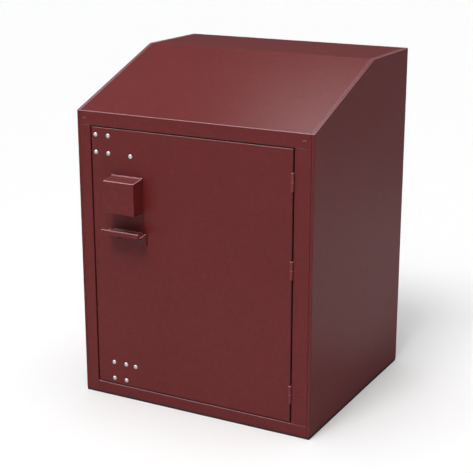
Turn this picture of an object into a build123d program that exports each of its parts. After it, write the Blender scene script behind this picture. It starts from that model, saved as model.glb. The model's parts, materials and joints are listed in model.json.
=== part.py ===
from build123d import *
import math
import os

# Book drop box: a floor-standing sheet-steel cabinet. Books come in through a slot high in
# the back, and are taken out through a full-height front door with a slide latch.
# Millimetres. +Z is up and the door faces -Y. The origin is on the floor, under the
# middle of the box that just holds the whole object.

os.makedirs("parts", exist_ok=True)

# ---------------------------------------------------------------- driving dimensions
# Cabinet
WIDTH = 762.0
DEPTH = 680.0
HEIGHT = 1030.0
FRONT_HEIGHT = 882.0  # floor to the bend between front and slanting hood
TOP_DEPTH = 276.0  # flat part of the top
SHEET = 2.0
FLANGE = 9.0  # folded edge of a side panel, seen from the front
LIP = 14.0  # return of a folded edge, into the cabinet
PANEL_RADIUS = 3.0  # outside bend at a side panel's rim
SEAM_RADIUS = 1.8  # outside bend where two panels meet at a seam
BEND_RADIUS = 2.5  # outside bend of any other fold
STRIP_HEIGHT = 7.0
STRIP_WIDTH = 30.0
STRIP_INSET = 1.5  # from the cabinet's edge to the strip
STRIP_GAP = 0.5  # between one strip's end and the next strip

# Front frame
LEFT_STILE = 44.7
RIGHT_STILE = 57.5
HEADER = 41.5
BOTTOM_RAIL = 32.5
REBATE = 22.0  # from the front face back to the door stop
STOP = 14.0

# Door
SIDE_GAP = 4.6
HINGE_GAP = 5.0
END_GAP = 3.5  # above and below the door
DOOR_DEPTH = 20.0
DOOR_LIP = 12.0
DOOR_RADIUS = 1.5
STIFFENER_X = 60.0
STIFFENER_WIDTH = 60.0
STIFFENER_DEPTH = 15.0
STIFFENER_FLANGE = 18.0
STIFFENER_END = 20.0  # from the door's ends to the stiffener's

# Hinges
HINGE_HEIGHT = 52.0
HINGE_CENTRES = {"upper": 746.0, "middle": 496.0, "lower": 128.0}
KNUCKLE_RADIUS = 4.5
PIN_RADIUS = 2.5
PIN_CLEARANCE = 0.05
PIVOT_PROUD = 2.2  # pivot axis in front of the cabinet's face
LEAF = 1.7
LEAF_DEPTH = 17.0  # how far back a leaf runs from the front face
KNUCKLE_GAP = 0.3
KNUCKLE_ROOM = 1.6  # free space around a frame knuckle in the door's edge
LEAF_START = 4.0  # behind the face, where a leaf passes the other one's knuckle

# Slide latch, outside
LATCH_X = -211.0
PLATE_WIDTH = 101.0
PLATE_BOTTOM = 504.0
PLATE_TOP = 645.0
RUNNING_GAP = 0.5  # between the sliding pieces and the door skin
LEDGE_WIDTH = 126.0
LEDGE_DEPTH = 48.5
LEDGE_HEIGHT = 535.0  # underside of the ledge, next to the door
LEDGE_DROP = 5.0  # the ledge slopes down this much to its lip
LEDGE_LIP = 16.0
LEDGE_HEM = 4.0  # thickness of the lip, which is folded back on itself
LEDGE_ROUND = 1.9
LEDGE_FLANGE = 33.0
LEDGE_RADIUS = 3.0
HANDLE_SCREW_SPACING = 75.0
HANDLE_SCREW_DROP = 20.0  # below the ledge
TRAVEL = 25.0

# Padlock cover
COVER_WIDTH = 103.0
COVER_DEPTH = 50.0
COVER_BOTTOM = 598.0
COVER_FACE = 96.0  # height of the front face
COVER_RISE = 6.5  # the top slopes up this much to the flange
COVER_FLANGE = 1.5  # flange above the box
COVER_RETURN = 1.7
COVER_SIDE_GAP = 0.3
COVER_STANDOFF = 3.0
COVER_RADIUS = 2.5

# Padlock eyes
EYE_THICKNESS = 4.0
EYE_PROJECTION = 40.0
EYE_HEIGHT = 28.0
EYE_HOLE_RADIUS = 5.0
EYE_HOLE_PROJECTION = 26.0
EYE_CENTRE = 654.0
EYE_GAP = 1.0
EYE_X = -208.0  # left face of the fixed eye
EYE_RADIUS = 8.0

# Slide latch, inside the door
BAR_X = -199.0
BAR_WIDTH = 60.0
BAR_THICKNESS = 3.0
BAR_BOTTOM = 49.0
BAR_TOP = 803.0
BAR_OFFSET = 11.6  # from the door skin's inner face
SLOT_CLEARANCE = 0.3
BOLT_HEIGHT = 26.0
BOLT_THICKNESS = 7.0
BOLT_OFFSET = 1.5  # from the door skin's inner face
BOLT_TIP = 4.7  # bolt's tip inside the door's edge when drawn back
BOLT_CHAMFER = 3.0
BOLT_CENTRES = {"top": 788.5, "bottom": 85.3}
CAM_PIN_X = {"top": -193.0, "bottom": -180.0}
CAM_PIN_RADIUS = 4.0
CAM_PIN_END = 10.0  # bolt's metal past its cam pin
CAM_PIN_STAND = 2.0  # cam pin's length past the bar
STUD_HEIGHTS = (761.0, 110.0)
SLEEVE_RADIUS = 4.0
STRIKE_CLEARANCE = 1.5
STRIKE_THICKNESS = 3.0
STRIKE_HEIGHT = 70.0

# Bolt guides
GUIDE_X = {"top": -296.0, "bottom": -254.3}
GUIDE_WIDTH = 60.0
GUIDE_HOLES_X = 43.0
GUIDE_HOLES_Z = 52.0
GUIDE_EDGE = 8.0  # from a hole's centre to the guide's edge
GUIDE_CLEARANCE = 0.5

# Carriage that ties the handle to the bar
CARRIAGE_THICKNESS = 3.0
CARRIAGE_HEIGHT = 26.0
CARRIAGE_WIDTH = 99.0
SPACER_WIDTH = 40.0
SPACER_HEIGHT = 20.0
BAR_SCREW_SPACING = 20.0
BUSH_RADIUS = 6.0

# Screws, nuts and washers
HEAD_RADIUS = 6.35
HEAD_HEIGHT = 3.6
HEAD_RIM = 0.8
SCREW_RADIUS = 3.0
HOLE_CLEARANCE = 0.3
THREAD_CLEARANCE = 0.02
NUT_FLATS = 10.0
NUT_HEIGHT = 5.0
WASHER_RADIUS = 9.0
WASHER_THICKNESS = 1.6
SCREW_END = 1.5  # thread past the nut
DRIVE_WIDTH = 1.5
DRIVE_SPAN = 1.15  # slot's length in head radii
DRIVE_DEPTH = 1.3
DRIVE_TURN = 37.0  # degrees between one screw's slot and the next

# Deposit slot in the back
SLOT_WIDTH = 400.0
SLOT_HEIGHT = 130.0
SLOT_BOTTOM = 800.0
THROAT_DEPTH = 45.0
BEZEL_BORDER = 34.0
BEZEL_SHEET = 2.0
BEZEL_SCREWS_X = (-130.0, 0.0, 130.0)
REAR_HEAD_RADIUS = 4.5
REAR_HEAD_HEIGHT = 2.4
REAR_SCREW_RADIUS = 2.5
REAR_NUT_FLATS = 8.0
REAR_NUT_HEIGHT = 4.0
SLEEVE_HOLE_RADIUS = 3.3  # four free holes that take a wall sleeve
BEZEL_HOLE_INSET = 16.0  # from the bezel's edge to every hole
THROAT_GAP = 1.0  # around the throat in the back panel

# Deposit flap
ROD_RADIUS = 3.0
ROD_DROP = 8.0
ROD_SETBACK = 14.0
ROD_OVERHANG = 8.0
FLAP_TUBE_RADIUS = 5.5
FLAP_SIDE_GAP = 4.0
FLAP_BOTTOM_GAP = 3.0
FLAP_STOP_HEIGHT = 12.0
FLAP_STOP_WIDTH = 30.0
FLAP_STOP_GAP = 0.3
CLIP_RADIUS = 6.0
CLIP_THICKNESS = 2.0
CLIP_GAP = 0.3

# Chute under the slot
CHUTE_DROP = 4.0  # below the bezel
CHUTE_RUN = 220.0
CHUTE_FALL = 110.0
CHUTE_HEM = 15.0
CHUTE_FLANGE = 40.0
CHEEK_HEIGHT = 35.0
CHEEK_START = 52.0
BRACKET_X = 150.0
BRACKET_THICKNESS = 3.0
BRACKET_RUN = 190.0
BRACKET_FALL = 130.0

# Floor and back
PAN_EDGE = 30.0
ANCHOR_RADIUS = 7.0
ANCHOR_SPACING_X = 560.0
ANCHOR_SPACING_Y = 480.0
REAR_LIP = 25.0
JOGGLE_BELOW = 15.0
JOGGLE_ABOVE = 12.0
JOGGLE_INSET = 14.0

# ---------------------------------------------------------------- worked-out places
REAR_PROJECTION = BEZEL_SHEET + REAR_HEAD_HEIGHT
FRONT = -(DEPTH + REAR_PROJECTION - COVER_DEPTH) / 2
BACK = FRONT + DEPTH
HALF = WIDTH / 2
INNER = HALF - FLANGE  # where side panels meet hood, stiles and back
OPEN_LEFT = -HALF + LEFT_STILE
OPEN_RIGHT = HALF - RIGHT_STILE
OPEN_TOP = FRONT_HEIGHT - HEADER
OPEN_BOTTOM = STRIP_HEIGHT + BOTTOM_RAIL
DOOR_LEFT = OPEN_LEFT + SIDE_GAP
DOOR_RIGHT = OPEN_RIGHT - HINGE_GAP
DOOR_TOP = OPEN_TOP - END_GAP
DOOR_BOTTOM = OPEN_BOTTOM + END_GAP
SKIN_BACK = FRONT + SHEET
PIVOT_X = OPEN_RIGHT - math.sqrt(KNUCKLE_RADIUS**2 - PIVOT_PROUD**2) - KNUCKLE_GAP
PIVOT_Y = FRONT - PIVOT_PROUD
HINGE_HALF = HINGE_HEIGHT / 2
DOOR_LEAF_X = (DOOR_RIGHT - SHEET - LEAF, DOOR_RIGHT - SHEET)
FRAME_LEAF_X = (OPEN_RIGHT - LEAF, OPEN_RIGHT)
LEAF_Y = (FRONT + LEAF_START, FRONT + LEAF_DEPTH)
PLATE_FRONT = FRONT - RUNNING_GAP - SHEET
LEDGE_FACE = PLATE_FRONT - SHEET
HANDLE_Z = LEDGE_HEIGHT - HANDLE_SCREW_DROP
HANDLE_SCREWS = [(LATCH_X - HANDLE_SCREW_SPACING / 2, HANDLE_Z),
                 (LATCH_X + HANDLE_SCREW_SPACING / 2, HANDLE_Z)]
CARRIAGE_FRONT = SKIN_BACK + RUNNING_GAP
CARRIAGE_BACK = CARRIAGE_FRONT + CARRIAGE_THICKNESS
BAR_FRONT = SKIN_BACK + BAR_OFFSET
BAR_BACK = BAR_FRONT + BAR_THICKNESS
BAR_SCREWS = [(BAR_X - BAR_SCREW_SPACING / 2, HANDLE_Z), (BAR_X + BAR_SCREW_SPACING / 2, HANDLE_Z)]
BOLT_FRONT = SKIN_BACK + BOLT_OFFSET
BOLT_BACK = BOLT_FRONT + BOLT_THICKNESS
BOLT_LEFT = DOOR_LEFT + BOLT_TIP
STUDS = [(BAR_X, height) for height in STUD_HEIGHTS]
SLEEVE_END = BAR_BACK + SLOT_CLEARANCE
EYE_Z = (EYE_CENTRE - EYE_HEIGHT / 2, EYE_CENTRE + EYE_HEIGHT / 2)
EYE_HOLE_Y = FRONT - EYE_HOLE_PROJECTION
MOVING_EYE_X = EYE_X + EYE_THICKNESS + EYE_GAP
COVER_BROW = COVER_BOTTOM + COVER_FACE
COVER_SLOPE = COVER_RISE / (COVER_DEPTH - COVER_STANDOFF)
COVER_WALL = SHEET * math.hypot(1, COVER_SLOPE)  # height of the sloping top's sheet
SLOT_TOP = SLOT_BOTTOM + SLOT_HEIGHT
THROAT_HALF = SLOT_WIDTH / 2 + SHEET
THROAT_Z = (SLOT_BOTTOM - SHEET, SLOT_TOP + SHEET)
BEZEL_HALF = SLOT_WIDTH / 2 + BEZEL_BORDER
BEZEL_Z = (SLOT_BOTTOM - BEZEL_BORDER, SLOT_TOP + BEZEL_BORDER)
BEZEL_HOLES_Z = (BEZEL_Z[0] + BEZEL_HOLE_INSET, BEZEL_Z[1] - BEZEL_HOLE_INSET)
BEZEL_SCREWS = [(x, z) for x in BEZEL_SCREWS_X for z in BEZEL_HOLES_Z]
SLEEVE_HOLES = [(x, z) for x in (BEZEL_HOLE_INSET - BEZEL_HALF, BEZEL_HALF - BEZEL_HOLE_INSET)
                for z in BEZEL_HOLES_Z]
ROD_Y = BACK - ROD_SETBACK
ROD_Z = SLOT_TOP - ROD_DROP
FLAP_FACE = ROD_Y - FLAP_TUBE_RADIUS + SHEET  # the hanging plate's outer face
CHUTE_TOP = BEZEL_Z[0] - CHUTE_DROP
CHUTE_SLOPE = CHUTE_FALL / CHUTE_RUN
CHUTE_BACK = BACK - SHEET
STRIKE_Y = (FRONT + SHEET + BOLT_OFFSET - STRIKE_CLEARANCE / 2,
            FRONT + SHEET + BOLT_OFFSET + BOLT_THICKNESS + STRIKE_CLEARANCE)
STRIKE_HALF = BOLT_HEIGHT / 2 + STRIKE_CLEARANCE
OUTLINE = [
    (FRONT, STRIP_HEIGHT),
    (FRONT, FRONT_HEIGHT),
    (BACK - TOP_DEPTH, HEIGHT),
    (BACK, HEIGHT),
    (BACK, STRIP_HEIGHT),
]


# ---------------------------------------------------------------- shared shapes
def block(x, y, z, mode=Mode.ADD):
    """A box between a low and a high limit along each axis."""
    with Locations((sum(x) / 2, sum(y) / 2, sum(z) / 2)):
        Box(x[1] - x[0], y[1] - y[0], z[1] - z[0], mode=mode)


def prism(points, x_from, x_to, mode=Mode.ADD):
    """A solid with this side outline, in (y, z) points, between two x positions."""
    with BuildSketch(Plane.YZ.offset(x_from)) as face:
        Polygon(*points)
    extrude(face.sketch, amount=x_to - x_from, mode=mode)


def outline(inset, x_from, x_to, mode=Mode.ADD):
    """The cabinet's side outline, drawn in by an inset, between two x positions."""
    with BuildSketch(Plane.YZ.offset(x_from)) as face:
        Polygon(*OUTLINE)
        if inset:
            offset(amount=-inset, kind=Kind.INTERSECTION)
    extrude(face.sketch, amount=x_to - x_from, mode=mode)


def folded(plane, path, radii, length):
    """A sheet laid on the left of a folded path, run out along the plane's normal."""
    with BuildSketch(plane) as section:
        with BuildLine():
            FilletPolyline(*path, radius=radii)
            offset(amount=SHEET, side=Side.LEFT)
        make_face()
    extrude(section.sketch, amount=length)


def rings(places, y_from, y_to, radius, hole=0):
    """Round washers, sleeves or pins along Y, one at each (x, z) place."""
    with BuildSketch(Plane.XZ.offset(-y_to)) as faces:
        with Locations(*places):
            Circle(radius)
            if hole:
                Circle(hole, mode=Mode.SUBTRACT)
    extrude(faces.sketch, amount=y_to - y_from)


def bore(places, y_from, y_to, radius):
    """Round holes along Y, cut at each (x, z) place."""
    with BuildSketch(Plane.XZ.offset(-y_to)) as faces:
        with Locations(*places):
            Circle(radius)
    extrude(faces.sketch, amount=y_to - y_from, mode=Mode.SUBTRACT)


def slot(centre, reach, turn, y_from, y_to, radius):
    """A round-ended slot through a sheet; reach is the distance between its end centres."""
    with BuildSketch(Plane.XZ.offset(-y_to)) as face:
        with Locations(centre):
            SlotCenterToCenter(reach, 2 * radius, rotation=turn)
    extrude(face.sketch, amount=y_to - y_from, mode=Mode.SUBTRACT)


def nuts(places, y_from, height, flats, hole):
    """Hexagon nuts along Y, one at each (x, z) place."""
    with BuildSketch(Plane.XZ.offset(-(y_from + height))) as faces:
        with Locations(*places):
            RegularPolygon(flats / 2, 6, major_radius=False)
            Circle(hole, mode=Mode.SUBTRACT)
    extrude(faces.sketch, amount=height)


def screws(places, face, length, radius, head_radius, head_height, out=-1):
    """Dome-headed slotted screws along Y; out is the way the heads point."""
    tip = face - out * length
    crown = face + out * head_height
    rim = face + out * HEAD_RIM
    rise = head_height - HEAD_RIM
    ball = (head_radius**2 + rise**2) / (2 * rise)
    half_angle = math.asin(head_radius / ball) / 2
    shoulder = crown - out * ball * (1 - math.cos(half_angle))
    for number, (x, z) in enumerate(places):
        with BuildSketch(Plane.XY.offset(z)) as half:
            with BuildLine():
                Polyline((x, crown), (x, tip), (x + radius, tip), (x + radius, face),
                         (x + head_radius, face), (x + head_radius, rim))
                ThreePointArc((x + head_radius, rim), (x + ball * math.sin(half_angle), shoulder),
                              (x, crown))
            make_face()
        revolve(half.sketch, axis=Axis((x, face, z), (0, 1, 0)))
        with Locations(Location((x, crown, z), (0, DRIVE_TURN * number, 0))):
            Box(head_radius * DRIVE_SPAN, DRIVE_DEPTH * 2, DRIVE_WIDTH, mode=Mode.SUBTRACT)


def save(piece, name):
    piece.part.label = name
    export_step(piece.part, f"parts/{name}.step")


# ---------------------------------------------------------------- side panels
# A pan: a flat web with a folded flange and a return lip all the way round.
with BuildPart() as left_side_panel:
    outline(0, -HALF, -INNER)
    rim_outer = left_side_panel.faces().sort_by(Axis.X)[0].edges()
    fillet(rim_outer, radius=PANEL_RADIUS)
    rim_inner = left_side_panel.faces().sort_by(Axis.X)[-1].edges()
    fillet(rim_inner, radius=SEAM_RADIUS)
    outline(SHEET, -HALF + SHEET, -INNER - SHEET, Mode.SUBTRACT)
    outline(LIP, -INNER - SHEET, -INNER, Mode.SUBTRACT)
save(left_side_panel, "left_side_panel")

with BuildPart() as right_side_panel:
    mirror(left_side_panel.part, about=Plane.YZ)
save(right_side_panel, "right_side_panel")

# ---------------------------------------------------------------- hood
# One sheet: header over the door, slanting front, flat top and a lip down the back.
with BuildPart() as hood_panel:
    with BuildSketch(Plane.YZ.offset(-INNER)):
        Polygon((FRONT, OPEN_TOP), *OUTLINE[1:4], (BACK, HEIGHT - REAR_LIP))
    extrude(amount=2 * INNER)
    across = hood_panel.edges().filter_by(Axis.X).sort_by(Axis.Z)
    fillet(across[1:2] + across[-2:], radius=BEND_RADIUS)
    for side in hood_panel.faces().filter_by(Axis.X):
        seam = hood_panel.faces().filter_by(Axis.X).sort_by(
            lambda f: abs(f.center().X - side.center().X))[0]
        fillet(seam.edges().sort_by(SortBy.LENGTH)[:-1], radius=SEAM_RADIUS)
    outline(SHEET, -INNER + SHEET, INNER - SHEET, Mode.SUBTRACT)
    outline(LIP, -INNER, INNER, Mode.SUBTRACT)
    block((-INNER, INNER), (BACK - LIP, BACK), (HEIGHT - 2 * REAR_LIP, HEIGHT - REAR_LIP),
          Mode.SUBTRACT)
    block((OPEN_LEFT, OPEN_RIGHT), (SKIN_BACK, FRONT + REBATE + SHEET),
          (OPEN_TOP, OPEN_TOP + SHEET))
    block((OPEN_LEFT, OPEN_RIGHT), (FRONT + REBATE, FRONT + REBATE + SHEET),
          (OPEN_TOP - STOP, OPEN_TOP))
save(hood_panel, "hood_panel")

# ---------------------------------------------------------------- front frame
# Each member: lip against its neighbour, face, return into the opening, door stop.
with BuildPart() as left_stile:
    folded(Plane.XY.offset(STRIP_HEIGHT),
           [(-INNER, FRONT + LIP), (-INNER, FRONT), (OPEN_LEFT, FRONT),
            (OPEN_LEFT, FRONT + REBATE), (OPEN_LEFT + STOP, FRONT + REBATE)],
           [SEAM_RADIUS, DOOR_RADIUS, SEAM_RADIUS], OPEN_TOP - STRIP_HEIGHT)
    for z in ((STRIP_HEIGHT, OPEN_BOTTOM + STOP), (OPEN_TOP - STOP, OPEN_TOP)):
        block((OPEN_LEFT, OPEN_LEFT + STOP), (SKIN_BACK, FRONT + REBATE + SHEET), z,
              Mode.SUBTRACT)
    block((OPEN_LEFT - SHEET, OPEN_LEFT), (SKIN_BACK, FRONT + REBATE + SHEET),
          (STRIP_HEIGHT, OPEN_BOTTOM - SHEET), Mode.SUBTRACT)
    for centre in BOLT_CENTRES.values():
        block((OPEN_LEFT - SHEET, OPEN_LEFT), STRIKE_Y,
              (centre - STRIKE_HALF, centre + STRIKE_HALF), Mode.SUBTRACT)
save(left_stile, "left_stile")

with BuildPart() as right_stile:
    folded(Plane.XY.offset(OPEN_BOTTOM),
           [(OPEN_RIGHT - STOP, FRONT + REBATE), (OPEN_RIGHT, FRONT + REBATE),
            (OPEN_RIGHT, FRONT), (INNER, FRONT), (INNER, FRONT + LIP)],
           [SEAM_RADIUS, DOOR_RADIUS, SEAM_RADIUS], OPEN_TOP - OPEN_BOTTOM)
    for z in ((OPEN_BOTTOM, OPEN_BOTTOM + STOP), (OPEN_TOP - STOP, OPEN_TOP)):
        block((OPEN_RIGHT - STOP, OPEN_RIGHT), (SKIN_BACK, FRONT + REBATE + SHEET), z,
              Mode.SUBTRACT)
save(right_stile, "right_stile")

with BuildPart() as bottom_rail:
    folded(Plane.YZ.offset(OPEN_LEFT),
           [(FRONT + REBATE, OPEN_BOTTOM + STOP), (FRONT + REBATE, OPEN_BOTTOM),
            (FRONT, OPEN_BOTTOM), (FRONT, STRIP_HEIGHT)],
           [SEAM_RADIUS, DOOR_RADIUS], INNER - OPEN_LEFT)
    block((OPEN_RIGHT, INNER), (FRONT + SHEET, FRONT + REBATE + SHEET),
          (OPEN_BOTTOM, OPEN_BOTTOM + STOP), Mode.SUBTRACT)
    block((INNER - SHEET, INNER), (FRONT + SHEET, FRONT + LIP), (STRIP_HEIGHT, OPEN_BOTTOM - SHEET))
save(bottom_rail, "bottom_rail")

# ---------------------------------------------------------------- back and floor
with BuildPart() as back_panel:
    block((-INNER, INNER), (BACK - LIP, BACK), (STRIP_HEIGHT, HEIGHT - REAR_LIP))
    corners = back_panel.faces().sort_by(Axis.Y)[-1].edges().filter_by(Axis.Z)
    fillet(corners, radius=SEAM_RADIUS)
    block((-INNER + SHEET, INNER - SHEET), (BACK - LIP, BACK - SHEET),
          (STRIP_HEIGHT, HEIGHT - REAR_LIP), Mode.SUBTRACT)
    block((-INNER + JOGGLE_INSET, INNER - JOGGLE_INSET), (BACK - 2 * SHEET, BACK - SHEET),
          (HEIGHT - REAR_LIP - JOGGLE_BELOW, HEIGHT - REAR_LIP + JOGGLE_ABOVE))
    block((-THROAT_HALF - THROAT_GAP, THROAT_HALF + THROAT_GAP), (BACK - SHEET, BACK),
          (THROAT_Z[0] - THROAT_GAP, THROAT_Z[1] + THROAT_GAP), Mode.SUBTRACT)
    bore(BEZEL_SCREWS, BACK - SHEET, BACK, REAR_SCREW_RADIUS + HOLE_CLEARANCE)
    bore(SLEEVE_HOLES, BACK - SHEET, BACK, SLEEVE_HOLE_RADIUS)
save(back_panel, "back_panel")

with BuildPart() as floor_pan:
    block((-INNER + SHEET, INNER - SHEET), (SKIN_BACK, BACK - SHEET),
          (STRIP_HEIGHT, STRIP_HEIGHT + PAN_EDGE - SHEET))
    block((-INNER + 2 * SHEET, INNER - 2 * SHEET), (SKIN_BACK + SHEET, BACK - 2 * SHEET),
          (STRIP_HEIGHT + SHEET, STRIP_HEIGHT + PAN_EDGE), Mode.SUBTRACT)
    with Locations(Plane(origin=(0, (FRONT + BACK) / 2, STRIP_HEIGHT + SHEET))):
        with GridLocations(ANCHOR_SPACING_X, ANCHOR_SPACING_Y, 2, 2):
            Hole(ANCHOR_RADIUS, depth=SHEET)
save(floor_pan, "floor_pan")

# Rubber strips all round under the cabinet's edges.
strip_x = WIDTH / 2 - STRIP_INSET
strip_front = FRONT + STRIP_INSET
strip_back = BACK - STRIP_INSET
side_strip = (strip_front + STRIP_WIDTH + STRIP_GAP, strip_back - STRIP_WIDTH - STRIP_GAP)
with BuildPart() as base_strips:
    block((-strip_x, strip_x), (strip_front, strip_front + STRIP_WIDTH), (0, STRIP_HEIGHT))
    block((-strip_x, strip_x), (strip_back - STRIP_WIDTH, strip_back), (0, STRIP_HEIGHT))
    block((-strip_x, STRIP_WIDTH - strip_x), side_strip, (0, STRIP_HEIGHT))
    block((strip_x - STRIP_WIDTH, strip_x), side_strip, (0, STRIP_HEIGHT))
save(base_strips, "base_strips")

# ---------------------------------------------------------------- deposit slot
# Bezel flange on the back, with a throat running in and two corner stops for the flap.
with BuildPart() as deposit_bezel:
    block((-BEZEL_HALF, BEZEL_HALF), (BACK, BACK + BEZEL_SHEET), BEZEL_Z)
    fillet(deposit_bezel.edges().filter_by(Axis.Y), radius=BEZEL_HOLE_INSET)
    block((-THROAT_HALF, THROAT_HALF), (BACK - THROAT_DEPTH, BACK), THROAT_Z)
    block((-SLOT_WIDTH / 2, SLOT_WIDTH / 2), (BACK - THROAT_DEPTH, BACK + BEZEL_SHEET),
          (SLOT_BOTTOM, SLOT_TOP), Mode.SUBTRACT)
    for x in ((-SLOT_WIDTH / 2, FLAP_STOP_WIDTH - SLOT_WIDTH / 2),
              (SLOT_WIDTH / 2 - FLAP_STOP_WIDTH, SLOT_WIDTH / 2)):
        block(x, (FLAP_FACE + FLAP_STOP_GAP, FLAP_FACE + FLAP_STOP_GAP + SHEET),
              (SLOT_BOTTOM, SLOT_BOTTOM + FLAP_STOP_HEIGHT))
    bore(BEZEL_SCREWS, BACK, BACK + BEZEL_SHEET, REAR_SCREW_RADIUS + HOLE_CLEARANCE)
    bore(SLEEVE_HOLES, BACK, BACK + BEZEL_SHEET, SLEEVE_HOLE_RADIUS)
    with BuildSketch(Plane.YZ.offset(-THROAT_HALF)):
        with Locations((ROD_Y, ROD_Z)):
            Circle(ROD_RADIUS + PIN_CLEARANCE)
    extrude(amount=2 * THROAT_HALF, mode=Mode.SUBTRACT)
save(deposit_bezel, "deposit_bezel")

with BuildPart() as bezel_screws:
    screws(BEZEL_SCREWS, BACK + BEZEL_SHEET, BEZEL_SHEET + SHEET + REAR_NUT_HEIGHT + SCREW_END,
           REAR_SCREW_RADIUS, REAR_HEAD_RADIUS, REAR_HEAD_HEIGHT, out=1)
save(bezel_screws, "bezel_screws")

with BuildPart() as bezel_nuts:
    nuts(BEZEL_SCREWS, BACK - SHEET - REAR_NUT_HEIGHT, REAR_NUT_HEIGHT, REAR_NUT_FLATS,
         REAR_SCREW_RADIUS + THREAD_CLEARANCE)
save(bezel_nuts, "bezel_nuts")

with BuildPart() as flap_rod:
    rod_half = THROAT_HALF + ROD_OVERHANG
    with BuildSketch(Plane.YZ.offset(-rod_half)):
        with Locations((ROD_Y, ROD_Z)):
            Circle(ROD_RADIUS)
    extrude(amount=2 * rod_half)
    chamfer(flap_rod.edges().filter_by(GeomType.CIRCLE), length=ROD_RADIUS / 6)
save(flap_rod, "flap_rod")

with BuildPart() as rod_clips:
    for x in (-THROAT_HALF - CLIP_GAP - CLIP_THICKNESS, THROAT_HALF + CLIP_GAP):
        with BuildSketch(Plane.YZ.offset(x)):
            with Locations((ROD_Y, ROD_Z)):
                Circle(CLIP_RADIUS)
                Circle(ROD_RADIUS, mode=Mode.SUBTRACT)
        extrude(amount=CLIP_THICKNESS)
save(rod_clips, "rod_clips")

# The flap: a tube that turns on the rod. Its plate hangs from the tube's inner side, so that
# its weight keeps it shut against the two stops.
with BuildPart() as deposit_flap:
    flap_half = SLOT_WIDTH / 2 - FLAP_SIDE_GAP
    with BuildSketch(Plane.YZ.offset(-flap_half)):
        with Locations((ROD_Y, ROD_Z)):
            Circle(FLAP_TUBE_RADIUS)
        Polygon((FLAP_FACE - SHEET, ROD_Z), (FLAP_FACE, ROD_Z),
                (FLAP_FACE, SLOT_BOTTOM + FLAP_BOTTOM_GAP),
                (FLAP_FACE - SHEET, SLOT_BOTTOM + FLAP_BOTTOM_GAP))
        with Locations((ROD_Y, ROD_Z)):
            Circle(ROD_RADIUS + PIN_CLEARANCE, mode=Mode.SUBTRACT)
    extrude(amount=2 * flap_half)
save(deposit_flap, "deposit_flap")


# ---------------------------------------------------------------- chute
def under_chute(y):
    """Height of the chute's underside at a y position."""
    return CHUTE_TOP - (CHUTE_BACK - y) * CHUTE_SLOPE - SHEET * math.hypot(1, CHUTE_SLOPE)


with BuildPart() as chute_plate:
    chute_end = CHUTE_BACK - CHUTE_RUN
    folded(Plane.YZ.offset(-SLOT_WIDTH / 2),
           [(CHUTE_BACK, CHUTE_TOP - CHUTE_FLANGE), (CHUTE_BACK, CHUTE_TOP),
            (chute_end, CHUTE_TOP - CHUTE_FALL), (chute_end, CHUTE_TOP - CHUTE_FALL - CHUTE_HEM)],
           [BEND_RADIUS, BEND_RADIUS], SLOT_WIDTH)
    cheek_y = CHUTE_BACK - CHEEK_START
    cheek_top = CHUTE_TOP - CHEEK_START * CHUTE_SLOPE
    for x in (-SLOT_WIDTH / 2, SLOT_WIDTH / 2 - SHEET):
        with BuildSketch(Plane.YZ.offset(x)):
            Polygon((cheek_y, cheek_top), (cheek_y, cheek_top + CHEEK_HEIGHT / 2),
                    (cheek_y - CHEEK_HEIGHT, cheek_top - CHEEK_HEIGHT * CHUTE_SLOPE + CHEEK_HEIGHT),
                    (chute_end + SHEET, CHUTE_TOP - CHUTE_FALL + SHEET * CHUTE_SLOPE + CHEEK_HEIGHT),
                    (chute_end + SHEET, CHUTE_TOP - CHUTE_FALL + SHEET * CHUTE_SLOPE))
        extrude(amount=SHEET)
save(chute_plate, "chute_plate")

with BuildPart() as chute_brackets:
    foot = CHUTE_TOP - CHUTE_FLANGE
    for x in (-BRACKET_X, BRACKET_X - BRACKET_THICKNESS):
        with BuildSketch(Plane.YZ.offset(x)):
            Polygon((CHUTE_BACK - SHEET, under_chute(CHUTE_BACK - SHEET) - BEND_RADIUS),
                    (CHUTE_BACK - SHEET, foot), (CHUTE_BACK, foot),
                    (CHUTE_BACK, CHUTE_TOP - BRACKET_FALL),
                    (CHUTE_BACK - BRACKET_RUN, under_chute(CHUTE_BACK - BRACKET_RUN)),
                    (CHUTE_BACK - LIP, under_chute(CHUTE_BACK - LIP)))
        extrude(amount=BRACKET_THICKNESS)
save(chute_brackets, "chute_brackets")

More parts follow.
